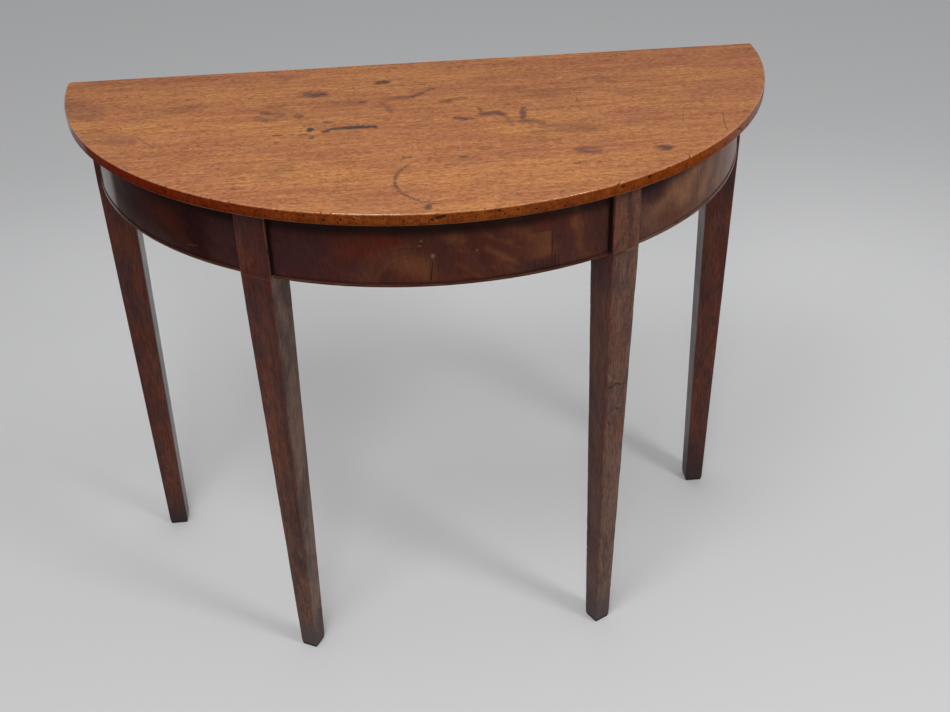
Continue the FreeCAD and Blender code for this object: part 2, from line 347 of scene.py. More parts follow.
def topMaterial():
    material, shader, place = newMaterial("topMahogany")
    x, y, z = separate(place)
    short = stretched(place, (4.5, 1, 1))      # mahogany's short, straight figure
    grain = groupNode(grainGroup, {"Vector": short, "Waviness": 0.0012})
    streaks = noiseOf(place, (10, 130, 60), 3, 0.65)
    tint = noiseOf(place, (5, 13, 5), 3)
    mottle = noiseOf(place, (26, 70, 26), 3, 0.6)
    wood = Paint(mapRange(tint, 0.38, 0.62), (0.588, 0.26, 0.106), (0.506, 0.21, 0.101))
    wood.lay(rising(mottle, 0.46, 0.7, 0.45), (0.648, 0.303, 0.104))
    wood.lay(falling(mottle, 0.28, 0.46, 0.28), (0.42, 0.16, 0.078))
    wood.deepen(falling(streaks, 0.36, 0.6, 0.55), (0.68, 0.62, 0.58))
    wood.deepen(falling(grain["Fibres"], 0, 1, 0.75), (0.66, 0.56, 0.46))
    wood.lay(times(grain["Pores"], 0.5), (0.15, 0.055, 0.03))
    # painted shade: the top darker at the back and right, where less light falls
    backRightShade = largest(mapRange(y, 0.04, 0.2), mapRange(x, 0.1, 0.32))
    wood.deepen(backRightShade, (0.92, 0.9, 0.97))     # duller at the back and right

    # cloudy smears and old stains under the polish
    clouds = rising(noiseOf(place, (9, 20, 9), 4, 0.66, 0.5), 0.54, 0.74, 0.3)
    smeared = shaken(place, shakeOf(place, 75, 3), 0.009)
    ragged = mapRange(noiseOf(place, (70, 150, 90), 3, 0.7), 0.34, 0.58, 0.5, 1.15)
    stain = times(strokes(smeared, topMarks["stain"], 0.6), ragged)
    jitter = shakeOf(place, 170, 2)
    flat = shaken(place, jitter, 0.006)
    ring = times(ringMark(flat, topMarks["ring"]), times(ragged, 0.64))
    stain = largest(stain, clouds, ring)
    wood.lay(stain, (0.118, 0.06, 0.05))
    specks = rising(noiseOf(place, (150, 240, 210), 0), 0.77, 0.84, 0.5)
    ink = largest(strokes(flat, topMarks["ink"], 0.5), specks)
    straight = shaken(place, jitter, 0.0015)
    ink = largest(ink, strokes(straight, topMarks["scratch"], 0.5))
    ink = times(ink, mapRange(z, topZ - 0.0022, topZ - 0.0012))
    wood.lay(ink, (0.078, 0.057, 0.05))

    # deeper polish on the edge, redder to the left, with streaks, specks and a darker lower half
    turn = bowTurn(x, y)
    rim = combine(times(turn, topRadius), z)
    deep = Paint(mapRange(turn, -0.9, -0.1), (0.35, 0.066, 0.007), (0.4, 0.224, 0.105))
    deep.lay(mapRange(turn, 0.2, 0.7), (0.55, 0.275, 0.06))
    endGrain = noiseOf(rim, (420, 60, 1), 3, 0.7)
    deep.deepen(falling(endGrain, 0.35, 0.65, 0.6), (0.58, 0.5, 0.46))
    deep.deepen(falling(z, underside + 0.001, underside + 0.008, 0.4), (0.5, 0.45, 0.45))
    deep.lay(rising(noiseOf(rim, 300, 1), 0.68, 0.74, 0.9), (0.05, 0.035, 0.035))
    edge = falling(z, topZ - 0.0026, topZ - 0.0008)
    wood.deepen(edge, deep.colour)

    # rubbed pale along the upper arris, dark in the nicks
    arris = mapRange(attribute(place, "arris"), 0.6, 1)
    worn = groupNode(wearGroup, {"Vector": place, "Arris": arris, "Amount": 0.5})["Mask"]
    wood.lay(times(worn, 0.35), (0.42, 0.17, 0.06))
    nick = attribute(place, "nick")
    wood.lay(rising(nick, 0.1, 0.45, 0.92), (0.026, 0.01, 0.007))
    wood.lay(attribute(place, "chip"), (0.4, 0.23, 0.13))

    # dry, dusty underside
    below = falling(z, underside + 0.0004, underside + 0.0012)
    dry = Paint(grain["Bands"], (0.16, 0.085, 0.045), (0.25, 0.14, 0.075))
    dry.lay(times(grain["Pores"], 0.6), (0.06, 0.03, 0.02))
    wood.lay(below, dry.colour)

    gloss = mapRange(noiseOf(place, 14, 4, 0.6), 0.3, 0.7, 0.34, 0.48)
    gloss = maths("MULTIPLY_ADD", stain, 0.12, gloss)
    gloss = maths("MULTIPLY_ADD", below, 0.35, gloss, clamp=True)
    sound = falling(nick, 0, 0.06)       # no shine inside a nick
    leftEnd = largest(falling(turn, -1.3, -1.12, 0.95), falling(turn, -1.115, -1.065, 0.5))
    rightEnd = maths("MINIMUM", rising(turn, 0.7, 0.95, 0.5), mapRange(turn, 1.05, 1.3, 0.5, 0.15))
    polish = largest(arris, times(largest(leftEnd, rightEnd), edge))
    polish = times(polish, sound)
    height = maths("MULTIPLY_ADD", largest(ink, nick), -0.5, grain["Height"])
    finishWood(shader, wood, gloss, 0.012, bumpOf(height, 0.3, 0.0003), polish, 0.07)
    return material


# leg material: dark mahogany, grain up the leg, each face painted lighter or darker by the way it turns to
# the light, grubby feet
legScar = {
    # right front leg, in millimetres: start across and up, end across and up, width; then strength
    "pale": [
        (204.5, 437, 208.5, 430, 2.6, 0.5), (214, 428, 217, 424, 2.2, 0.4),
    ],
    "dark": [
        (204, 420, 211, 417, 1.2, 0.8), (211, 417, 216, 423, 1, 0.7),
        (216, 423, 223, 416.5, 1.1, 0.8), (223, 416.5, 232, 418, 0.9, 0.7),
        (219, 381, 221.5, 379, 1.8, 0.7), (207, 366, 208.5, 360, 1.4, 0.6),
    ],
}


def legMaterial():
    material, shader, place = newMaterial("legMahogany")
    x, y, z = separate(place)
    upright = combine(z, x, y)
    grain = groupNode(grainGroup, {"Vector": upright, "Band Scale": 3, "Fibre Scale": 2.2, "Waviness": 0.002})
    rightward = attribute(place, "rightward")
    backLeg = maths("GREATER_THAN", y, 0.1)
    frontLeg = minus(1, backLeg)
    wood = Paint(grain["Bands"], (0.086, 0.022, 0.0135), (0.156, 0.05, 0.027))
    wood.lay(falling(z, 0.02, 0.5, 0.6), (0.205, 0.11, 0.076))
    # painted light and shade: faces turned to the right paler and greyer as if lit from the right, faces
    # turned to the left darker
    wood.lay(rising(rightward, 0.1, 0.8, 0.68), (0.198, 0.138, 0.102))
    wood.lay(falling(rightward, -0.85, -0.55, 0.5), (0.078, 0.037, 0.036))
    # painted light and shade on the stiles: left-turned faces above the knee redder and darker, right-turned
    # faces golden
    high = times(mapRange(z, 0.54, 0.62), falling(rightward, -0.1, 0.1, 0.9))
    wood.lay(high, (0.074, 0.0155, 0.0105))
    high = times(mapRange(z, 0.612, 0.616), rising(rightward, 0.25, 0.4, 0.5))
    wood.lay(high, (0.195, 0.08, 0.036))
    wood.lay(times(backLeg, 0.75), (0.104, 0.028, 0.017))
    # painted reflection: inner faces of the back legs greyed as if mirroring the floor and backdrop
    inward = times(falling(times(rightward, x), -0.38, -0.25), backLeg)
    paintedReflectionGrey = mixColour(maths("GREATER_THAN", x, 0), (0.15, 0.13, 0.136), (0.1, 0.074, 0.064))
    wood.lay(times(inward, 0.8), paintedReflectionGrey)
    dull = noiseOf(upright, (22, 50, 50), 4, 0.65, 0.5)
    wood.lay(rising(dull, 0.44, 0.62, 0.55), (0.064, 0.032, 0.031))
    cloud = noiseOf(upright, (9, 26, 26), 3, 0.6, 0.6)
    wood.lay(rising(cloud, 0.5, 0.64, 0.55), (0.046, 0.021, 0.022))
    wood.lay(falling(cloud, 0.36, 0.46, 0.35), (0.175, 0.062, 0.034))
    wood.deepen(times(mapRange(z, 0.611, 0.616), frontLeg), (1, 0.86, 0.79))
    wood.deepen(falling(grain["Fibres"], 0, 1, 0.72), (0.46, 0.43, 0.44))
    wood.lay(times(grain["Pores"], 0.6), (0.026, 0.013, 0.011))
    # pale rays of the grain, painted stronger on faces turned to the right, where the light falls
    rays = mapRange(noiseOf(upright, (900, 120, 120)), 0.52, 0.7)
    wood.lay(times(rays, mapRange(rightward, 0.2, 0.4, 0.04, 0.26)), (0.215, 0.125, 0.078))
    rubbed = times(attribute(place, "arris"), falling(z, 0.585, 0.61))
    worn = groupNode(wearGroup, {"Vector": place, "Arris": rubbed, "Amount": 0.46})["Mask"]
    wood.lay(times(worn, 0.4), (0.18, 0.085, 0.05))
    wood.lay(attribute(place, "bruise"), (0.03, 0.016, 0.013))

    # old scar on the right front leg, grubby feet with a dark sole
    flat = combine(x, z)
    flat = shaken(flat, shakeOf(flat, 190, 2), 0.004)
    outside = times(mapRange(rightward, 0.3, 0.42), falling(rightward, 0.52, 0.62))
    for label, shade in (("pale", (0.21, 0.12, 0.06)), ("dark", (0.02, 0.012, 0.01))):
        wood.lay(times(strokes(flat, legScar[label], 0.7), outside), shade)
    foot = maths("MULTIPLY_ADD", noiseOf(place, 60, 3, 0.6), -0.045, z)
    foot = falling(foot, -0.014, 0.056)
    grime = mixColour(backLeg, (0.074, 0.06, 0.06), (0.034, 0.027, 0.027))
    wood.lay(times(foot, 0.85), grime)
    wood.lay(falling(z, 0.001, 0.007, 0.7), (0.016, 0.012, 0.011))

    # side faces of the front stiles in the reveal, coloured near black
    out = stretched(vecMaths("SUBTRACT", place, (0, backY, 0)), (1, 1, 0))
    reveal = falling(vecMaths("LENGTH", out), friezeRadius + 0.0062, friezeRadius + 0.0074)
    reveal = times(reveal, mapRange(z, beadTop, beadTop + 0.002), frontLeg)
    wood.lay(reveal, (0.01, 0.005, 0.004))

    gloss = mapRange(noiseOf(place, 18, 4, 0.6), 0.3, 0.7, 0.3, 0.46)
    gloss = maths("MULTIPLY_ADD", largest(foot, reveal), 0.35, gloss, clamp=True)
    polish = times(inward, mapRange(x, -0.2, 0.2, 0.66, 0.34))
    finishWood(shader, wood, gloss, 0.1, bumpOf(grain["Height"], 0.35, 0.0003), polish, 0.3)
    return material


# frieze material: flame figure laid along the bow, in arc length and height
friezeFigure = {
    "panelEdge": 0.214,         # between the middle panel and the two others
    "revealEdge": 0.207,        # ends of the middle panel
    "fan": (-0.030, 0.616),     # middle of the arched figure
    # in millimetres: start along and up, end along and up, width; then strength
    "golden": [
        (-47, 642, -22, 634, 13, 0.55), (6, 674, 16, 672, 8, 0.5),
        (20, 658, 34, 636, 5, 0.25), (50, 652, 78, 637, 4, 0.45),
        (74, 682, 102, 660, 5, 0.4), (157, 686, 160, 662, 5, 0.6),
        (160, 662, 166, 632, 5, 0.45), (284, 652, 318, 663, 11, 0.5),
        (318, 663, 345, 646, 11, 0.75), (335, 650, 360, 674, 13, 0.8),
        (384, 640, 402, 668, 12, 0.65), (432, 636, 446, 670, 12, 0.5),
    ],
    "ruddy": [
        (-82, 677, -58, 667, 11, 0.9), (-112, 660, -86, 663, 15, 0.6),
        (-420, 664, -394, 656, 12, 0.5), (-376, 661, -360, 654, 14, 0.85),
        (-346, 652, -340, 640, 10, 0.5), (120, 676, 150, 670, 12, 0.35),
        (300, 632, 330, 626, 10, 0.4),
    ],
    "shade": [
        (-197, 640, -168, 652, 24, 0.55), (-70, 622, -100, 640, 8, 0.4),
        (-4, 664, -6, 634, 9, 0.5), (26, 646, 46, 630, 8, 0.4),
        (138, 664, 147, 622, 10, 0.5), (186, 684, 196, 628, 13, 0.55),
        (90, 621, 128, 617, 9, 0.75), (252, 686, 284, 674, 15, 0.95),
        (236, 650, 252, 620, 12, 0.45), (-450, 650, -438, 660, 20, 0.6),
        (-326, 664, -312, 640, 12, 0.6),
    ],
    "patch": (0.104, 0.1277, 0.665),    # let-in piece: from, to, upper edge
    "comb": 0.121,              # middle of the scraping below it
    "pale": [
        (-13.7, 650.8, -13.5, 651.6, 1.9, 0.55), (-26.5, 671.1, -26.2, 670.6, 1.3, 0.4),
        (-30, 665, -27, 664.2, 1, 0.3), (37, 654.3, 37.2, 654.1, 1.2, 0.45),
        (-333, 628, -315, 630.8, 0.5, 0.22),
    ],
    "cracks": [
        (-17.2, 620, -16, 632, 0.9, 1), (-16, 632, -14.2, 643, 0.7, 0.9),
        (-8.5, 630, -8, 638, 0.5, 0.5), (-30.9, 661, -30.6, 667.5, 0.7, 0.7),
        (-5, 669, 2, 660, 0.6, 0.5), (6, 664, 11, 657, 0.7, 0.5),
        (128, 616, 127.6, 665, 0.6, 0.9), (106, 666.2, 127.6, 665, 0.4, 0.6),
        (374, 615, 364, 690, 0.6, 0.7), (417, 612, 436.5, 690, 0.6, 0.7),
    ],
}


def friezeMaterial():
    material, shader, place = newMaterial("friezeVeneer")
    panelEdge, revealEdge = friezeFigure["panelEdge"], friezeFigure["revealEdge"]
    x, y, z = separate(place)
    along = times(bowTurn(x, y), friezeRadius)
    rightPanel = maths("GREATER_THAN", along, panelEdge)
    leftPanel = maths("LESS_THAN", along, -panelEdge)
    sheet = combine(along, z)
    shake = shakeOf(sheet, (34, 40, 1), 3)
    bent = shaken(sheet, shake, 0.016)

    # ground colour of each panel, lighter to the right, partly painted light; soft diagonal flame, then red,
    # gold and shade
    wood = Paint(mapRange(along, -0.15, -0.06), (0.056, 0.0165, 0.0145), (0.071, 0.02, 0.0125))
    wood.lay(mapRange(along, 0.04, 0.11), (0.08, 0.026, 0.017))
    # left panel darker: partly the veneer's own tone, partly painted shade away from the right-hand light
    wood.lay(leftPanel, (0.03, 0.0075, 0.006))
    # painted reflection of the floor: the lower left panel lighter and greyer
    lower = times(leftPanel, falling(z, 0.622, 0.646, 0.8), falling(along, -0.4, -0.3))
    wood.lay(lower, (0.044, 0.021, 0.017))
    # painted reflection: the far left end lighter
    wood.lay(falling(along, -0.516, -0.492), (0.085, 0.046, 0.028))
    # right panel lighter, most at its end: partly its own tone, partly painted light and sheen
    rightGroundAndSheen = mixColour(mapRange(along, 0.42, 0.56), (0.124, 0.056, 0.038), (0.215, 0.088, 0.047))
    wood.lay(rightPanel, rightGroundAndSheen)
    wood.lay(times(leftPanel, rising(along, -0.312, -0.275, 0.9)), (0.048, 0.0195, 0.018))
    slope = addNode("ShaderNodeVectorRotate", {"Vector": bent, "Angle": 0.54}, rotation_type="Z_AXIS")
    flame = noiseOf(slope.outputs[0], (22, 80, 4), 4, 0.6, 0.4)
    lively = times(mapRange(along, -0.04, 0.04, 0.12, 0.4), mapRange(along, 0.13, 0.15, 1, 0.5))
    gold = mixColour(rightPanel, (0.158, 0.056, 0.022), (0.262, 0.118, 0.054))
    wood.lay(times(mapRange(flame, 0.48, 0.7), lively), gold)
    red = mixColour(leftPanel, (0.11, 0.018, 0.008), (0.062, 0.011, 0.006))
    dusk = mixColour(leftPanel, (0.042, 0.017, 0.017), (0.018, 0.006, 0.006))
    for label, shade, softness in (("ruddy", red, 0.9), ("golden", gold, 0.95), ("shade", dusk, 0.95)):
        wood.lay(strokes(bent, friezeFigure[label], softness), shade)

    # faint arcs of the flame's crown, upper left quarter only
    reach = vecMaths("ADD", sheet, scaled(shake, 0.0064))
    reach = stretched(vecMaths("SUBTRACT", reach, (*friezeFigure["fan"], 0)), (0.75, 1, 0))
    far = vecMaths("LENGTH", reach)
    across, up, _ = separate(reach)
    swirl = combine(times(far, 420), maths("ARCTAN2", up, across))
    arcs = mapRange(noiseOf(swirl, 1, 1), 0.42, 0.62)
    crown = times(mapRange(far, 0.03, 0.036), falling(far, 0.05, 0.06), falling(across, -0.01, 0.004))
    wood.lay(times(crown, 0.25), gold)
    wood.lay(times(crown, arcs, 0.38), dusk)
    fine = noiseOf(bent, (300, 60, 10), 3, 0.65)
    wood.deepen(falling(fine, 0.35, 0.65, 0.6), (0.66, 0.62, 0.62))

    # let-in patch, scraping below it, open joints and pale spots
    patchFrom, patchTo, patchTop = friezeFigure["patch"]
    patch = times(
        mapRange(along, patchFrom - 0.016, patchFrom + 0.016), maths("LESS_THAN", along, patchTo),
        falling(z, patchTop - 0.001, patchTop + 0.002), rising(z, 0.626, 0.64, 0.5))
    wood.lay(patch, (0.15, 0.056, 0.024))
    teeth = noiseOf(sheet, (760, 14, 1), 1)
    tips = maths("MULTIPLY_ADD", noiseOf(sheet, (330, 0, 0)), 0.016, 0.624)
    comb = maths("ABSOLUTE", minus(along, friezeFigure["comb"]))
    comb = times(falling(comb, 0.013, 0.022), rising(teeth, 0.5, 0.6, 0.8), maths("LESS_THAN", z, tips))
    cracks = largest(comb, strokes(sheet, friezeFigure["cracks"], 0.5))
    wood.lay(times(cracks, 0.85), (0.013, 0.007, 0.006))
    wood.lay(strokes(sheet, friezeFigure["pale"], 0.9), (0.22, 0.155, 0.1))

    # painted shadow under the overhang and painted shade on the veneer beside the stiles
    shadow = mapRange(along, 0, 0.16, 0.82, 0.55)
    overhangAndStileShade = times(shadow, mapRange(z, underside - 0.033, underside - 0.021))
    ends = maths("ABSOLUTE", along)
    gap = mapRange(ends, revealEdge - 0.0035, revealEdge - 0.001)
    gap = times(gap, maths("LESS_THAN", ends, panelEdge))
    overhangAndStileShade = largest(overhangAndStileShade, gap)
    wood.lay(overhangAndStileShade, (0.014, 0.006, 0.005))

    gloss = mapRange(noiseOf(sheet, 22, 4, 0.6), 0.3, 0.7, 0.2, 0.34)
    polish = times(mapRange(gloss, 0.2, 0.34, 0.08, 0.03), mapRange(along, -0.26, -0.16))
    rightShine = times(rightPanel, mapRange(along, 0.3, 0.5, 0.08, 0.34))
    polish = largest(polish, falling(along, -0.52, -0.496, 0.74), rightShine)
    gloss = maths("MULTIPLY_ADD", overhangAndStileShade, 0.3, gloss, clamp=True)
    height = maths("MULTIPLY_ADD", cracks, -1, times(fine, 0.12))
    finishWood(shader, wood, gloss, 0.012, bumpOf(height, 0.4, 0.0004), polish, 0.1)
    return material


# bead material: follows the panel above it, with painted light under the right panel and at the left end, a
# thin light line, and a painted highlight along the lower edge
def beadMaterial():
    material, shader, place = newMaterial("beadMahogany")
    x, y, z = separate(place)
    along = times(bowTurn(x, y), friezeRadius)
    bow = combine(along, z)
    grain = groupNode(grainGroup, {"Vector": bow, "Band Scale": 2})
    rightPanel = mapRange(along, 0.22, 0.23)
    wood = Paint(grain["Bands"], (0.036, 0.012, 0.009), (0.062, 0.021, 0.014))
    # painted light and reflection: the bead lighter under the right panel and at the far left end
    wood.lay(rightPanel, (0.128, 0.07, 0.052))
    wood.lay(falling(along, -0.52, -0.4), (0.075, 0.042, 0.032))
    wood.lay(times(grain["Pores"], 0.7), (0.025, 0.011, 0.009))
    rubbed = noiseOf(bow, 34, 3)
    upper = falling(maths("ABSOLUTE", minus(z, friezeBottom + 0.0024)), 0.0002, 0.0007)
    upper = times(upper, mapRange(rubbed, 0.4, 0.62, 0.1, 0.75), minus(1, rightPanel))
    wood.lay(upper, (0.16, 0.075, 0.044))
    # painted highlight along the lower edge, where the arris catches the light
    lower = falling(z, friezeBottom + 0.0005, friezeBottom + 0.0011)
    wood.lay(times(lower, mapRange(rubbed, 0.34, 0.58, 0.85, 0.3)), (0.26, 0.125, 0.055))
    gloss = mapRange(noiseOf(place, 40, 3), 0.3, 0.7, 0.32, 0.46)
    polish = largest(falling(along, -0.52, -0.47, 0.8), rising(along, 0.34, 0.5, 0.45))
    finishWood(shader, wood, gloss, 0.03, bumpOf(grain["Height"], 0.25, 0.0003), polish, 0.15)
    return material


# unseen timber: bare pine, brown with age; the bricks' shades differ from their neighbours'
pineTones = {"early": (0.36, 0.235, 0.125), "late": (0.22, 0.125, 0.058), "fibre": (0.4, 0.27, 0.155)}


def pineMaterial(name, shade, bowed=False, acrossY=False):
    material, shader, place = newMaterial(name)
    x, y, z = separate(place)
    if bowed:
        lie = combine(times(bowTurn(x, y), friezeRadius), z, maths("ADD", y, shade))
    elif acrossY:
        lie = combine(y, x, z)
    else:
        lie = place
    grain = groupNode(grainGroup, {"Vector": lie, "Band Scale": 3.2, "Fibre Scale": 0.7, "Waviness": 0.012})
    early, late, fibre = [[part * shade for part in tone] for tone in pineTones.values()]
    wood = Paint(grain["Bands"], early, late)
    wood.lay(times(grain["Fibres"], 0.3), fibre)
    wood.lay(rising(noiseOf(place, 9, 4, 0.6), 0.42, 0.68, 0.6), (0.15, 0.105, 0.075))
    saw = maths("SINE", times(separate(lie)[0], 1500))
    gloss = mapRange(grain["Fibres"], 0, 1, 0.68, 0.82)
    height = maths("MULTIPLY_ADD", saw, 0.12, grain["Height"])
    finishWood(shader, wood, gloss, 0.3, bumpOf(height, 0.4, 0.0004))
    return material


def steelMaterial():
    material, shader, place = newMaterial("dullSteel")
    rust = mapRange(noiseOf(place, 420, 4, 0.65), 0.42, 0.62)
    fill(shader, {
        "Base Color": mixColour(rust, (0.33, 0.31, 0.29), (0.13, 0.065, 0.035)),
        "Metallic": mapRange(rust, 0, 1, 0.95, 0.1), "Roughness": mapRange(rust, 0, 1, 0.38, 0.8)})
    return material


topWood = topMaterial()
legWood = legMaterial()
friezeWood = friezeMaterial()
beadWood = beadMaterial()
brickShades = enumerate((0.92, 1.1, 0.78), 1)
brickWoods = [pineMaterial("corePine%d" % number, shade, bowed=True) for number, shade in brickShades]
railWood = pineMaterial("railPine", 0.9)
crossWood = pineMaterial("crossPine", 1.0, acrossY=True)
blockWood = pineMaterial("blockPine", 1.15)
screwSteel = steelMaterial()
print("materials made")


# carried-over nodes keep their shape and take a finish
def dressNodes():
    finishes = {"back_rail": railWood, "cross_rail": crossWood, "top_screws": screwSteel}
    for name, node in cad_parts.items():
        if name.startswith("frieze_brick"):
            course, number = map(int, name.split("_")[2:])
            wood = brickWoods[(course * 2 + number) % len(brickWoods)]
        else:
            wood = finishes.get(name, blockWood)
        node.data.materials.clear()
        node.data.materials.append(wood)


dressNodes()


def plainPiece(name, mesh):
    piece = bpy.data.objects.new(name, mesh)
    bpy.context.collection.objects.link(piece)
    return piece


def standFor(piece, slotName, *nodes):
    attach(piece, "root")
    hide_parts(*nodes)
    print(piece.name, len(piece.data.vertices), "points")


def keepValues(mesh, label, values):
    mesh.attributes.new(label, "FLOAT", "POINT").data.foreach_set("value", values)


def cornersOf(node):
    return [vertex.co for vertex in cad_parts[node].data.vertices]


# runs a geometry tree once and keeps its result as a plain mesh
def growPiece(name, tree, values):
    piece = plainPiece(name, bpy.data.meshes.new(name))
    modifier = piece.modifiers.new(tree.name, "NODES")
    modifier.node_group = tree
    sockets = {item.name: item.identifier for item in tree.interface.items_tree if item.in_out == "INPUT"}
    for label, value in values.items():
        modifier[sockets[label]] = value
    depsgraph = bpy.context.evaluated_depsgraph_get()
    grown = piece.evaluated_get(depsgraph)
    mesh = bpy.data.meshes.new_from_object(grown, preserve_all_data_layers=True, depsgraph=depsgraph)
    piece.modifiers.clear()
    piece.data = mesh
    mesh.name = name
    return piece


def newTree(name, *labels, others=()):
    sockets = [*floats(*labels), *others, ("Material", "Material")]
    return newGroup(name, "GeometryNodeTree", sockets, [("Mesh", "Geometry")])


def geometry(kind, inputs, tree=None, **settings):
    return addNode("GeometryNode" + kind, inputs, tree, **settings).outputs[0]


# sweeps a box section with rounded corners along a curve
def sweepBox(curve, width, height, radius, bend, cuts=0):
    box = geometry("CurvePrimitiveQuadrilateral", {"Width": width, "Height": height}, curve.id_data)
    box = geometry("FilletCurve", {"Curve": box, "Count": bend, "Radius": radius}, mode="POLY")
    if cuts:
        box = geometry("SubdivideCurve", {"Curve": box, "Cuts": cuts})
    return geometry("CurveToMesh", {"Curve": curve, "Profile Curve": box, "Fill Caps": True})


def finishTree(result, mesh, material):
    creaseAngle = 0.9
    crease = addNode("GeometryNodeInputMeshEdgeAngle", {}, result.id_data).outputs["Unsigned Angle"]
    crisp = addNode("FunctionNodeCompare", {0: crease, 1: creaseAngle}, operation="GREATER_THAN").outputs[0]
    mesh = geometry("SetShadeSmooth", {"Geometry": mesh, "Shade Smooth": True})
    creased = {"Geometry": mesh, "Selection": crisp, "Shade Smooth": False}
    mesh = geometry("SetShadeSmooth", creased, domain="EDGE")
    mesh = geometry("RealizeInstances", {"Geometry": mesh})
    fill(result, {"Mesh": geometry("SetMaterial", {"Geometry": mesh, "Material": material})})


# the top: a half-round board with a worn, nicked edge
topLook = {
    "station": 0.0013,          # spacing of the edge's cross-sections
    "backStation": 0.004,
    "cornerStation": 0.0012,
    "corners": (0.007, 0.0045), # rounding of the left and right back corners
    "upperArris": (0.0009, 0.0019),
    "lowerArris": (0.0008, 0.0015),
    "ripple": 0.00012,          # waviness of the face
    "hub": 0.42,                # middle of the face, as a share of the radius
    "darkDepth": 0.0012,        # a nick this deep is fully dark
    "arrisDrift": (9, 60),      # slow and quick change along the arris, per metre
    "rippleDrift": (3.2, 11),
    "dentDrop": 0.4,            # how far a dent in the arris sinks, as a share of its depth
    "smallNicks": {
        "seed": 23, "count": 90, "turn": (-88, 88), "highShare": 0.4, "high": (0.0, 0.003),
        "low": (0.003, 0.0135), "size": (0.001, 0.002), "tall": (0.5, 0.9), "deep": (0.0004, 0.0011),
    },
    # degrees from straight ahead, drop below the face, half width, half height, depth
    "nicks": [
        (-0.9, 0.0065, 0.006, 0.0022, 0.0024), (-0.2, 0.0052, 0.004, 0.0016, 0.0022),
        (-1.7, 0.0085, 0.0032, 0.0016, 0.0018), (-13.8, 0.008, 0.0022, 0.0016, 0.0014),
        (-16.1, 0.0095, 0.0024, 0.0018, 0.0016), (-18.8, 0.006, 0.0018, 0.0014, 0.0013),
        (-22.6, 0.003, 0.0024, 0.0015, 0.0011), (-36.3, 0.0028, 0.003, 0.0015, 0.0012),
        (-40.9, 0.0075, 0.0026, 0.002, 0.0016), (-30.1, 0.007, 0.0018, 0.0015, 0.0014),
        (25.6, 0.0062, 0.003, 0.002, 0.0018), (30.3, 0.0045, 0.003, 0.0022, 0.0018),
        (7.2, 0.0048, 0.0026, 0.0016, 0.0015), (9.8, 0.006, 0.002, 0.0015, 0.0014),
        (12.4, 0.009, 0.002, 0.0014, 0.0012),
    ],
    "chips": [(-11.9, 0.0046, 0.0024, 0.0011, 0.0006), (-11.3, 0.0058, 0.0014, 0.0009, 0.0005)],
}


def topOutline(look):
    points = []     # place in plan, outward direction, angle from straight ahead (None along the back)
    bends = []
    for radius in look["corners"]:
        across = math.sqrt((topRadius - radius) ** 2 - radius ** 2)
        bends.append((radius, across, math.atan2(across, radius)))
    (leftRadius, leftX, leftTurn), (rightRadius, rightX, rightTurn) = bends

    def arc(centre, radius, start, end, step):
        count = max(3, round(abs(end - start) * radius / step))
        for k in range(count):
            turn = start + (end - start) * k / count
            out = Vector((math.sin(turn), -math.cos(turn)))
            points.append((centre + out * radius, out, turn))

    arc(middle, topRadius, -leftTurn, rightTurn, look["station"])
    arc(Vector((rightX, backY - rightRadius)), rightRadius, rightTurn, math.pi, look["cornerStation"])
    count = round((rightX + leftX) / look["backStation"])
    for k in range(count):
        points.append((Vector((rightX - (rightX + leftX) * k / count, backY)), Vector((0, 1)), None))
    arc(Vector((-leftX, backY - leftRadius)), leftRadius, -math.pi, -leftTurn, look["cornerStation"])
    return points


def spreadNicks(look):
    small = look["smallNicks"]
    chance = random.Random(small["seed"])
    nicks = list(look["nicks"])
    for _ in range(small["count"]):
        turn = chance.uniform(*small["turn"])
        band = "high" if chance.random() < small["highShare"] else "low"
        level = chance.uniform(*small[band])
        size = chance.uniform(*small["size"])
        tall = size * chance.uniform(*small["tall"])
        nicks.append((turn, level, size, tall, chance.uniform(*small["deep"])))
    return nicks


def nearMarks(marks, turn):
    if turn is None:
        return []
    return [mark for mark in marks if abs(math.radians(mark[0]) - turn) * topRadius < mark[2]]


# strongest dent of a list at a place on the edge, and how deep it goes
def dentAt(marks, turn, level, darkDepth):
    depth = mask = 0.0
    for angle, middleLevel, wide, tall, deep in marks:
        apart = ((math.radians(angle) - turn) * topRadius / wide) ** 2 + ((level - middleLevel) / tall) ** 2
        if apart < 1:
            amount = (1 - apart) ** 1.3
            depth = max(depth, deep * amount)
            mask = max(mask, amount * min(1.0, deep / darkDepth))
    return depth, mask


# cross-section of the edge from the middle of the face round to the middle of the underside:
# share of the way in or inset, drop below the face, arris share
def topSection(upper, lower, thick):
    faceShares = (0.995, 0.88, 0.74, 0.58, 0.42, 0.27, 0.14, 0.055, 0.02)
    undersideShares = (0.02, 0.055, 0.3, 0.6, 0.995)
    edgeSteps, roundSteps = 8, 3
    section = [(share, None, 0.0) for share in faceShares]
    section += [(upper + 0.0005, 0.0, 0.2), (upper * 0.92, upper * 0.03, 0.7)]
    section += [(upper * (0.75 - 0.25 * k), upper * (0.13 + 0.24 * k), 1.0) for k in range(3)]
    section += [(upper * 0.07, upper * 0.86, 0.7), (0.0, upper * 1.1, 0.2)]
    for k in range(1, edgeSteps):
        section.append((0.0, upper + (thick - lower - upper) * k / edgeSteps, 0.0))
    for k in range(roundSteps + 1):
        phi = math.radians(90 * k / roundSteps)
        section.append((lower * (1 - math.cos(phi)), thick - lower * (1 - math.sin(phi)), 0.6))
    return section + [(share, thick, -1.0) for share in undersideShares]


def between(limits, share):
    low, high = limits
    return low + (high - low) * min(1, max(0, share))


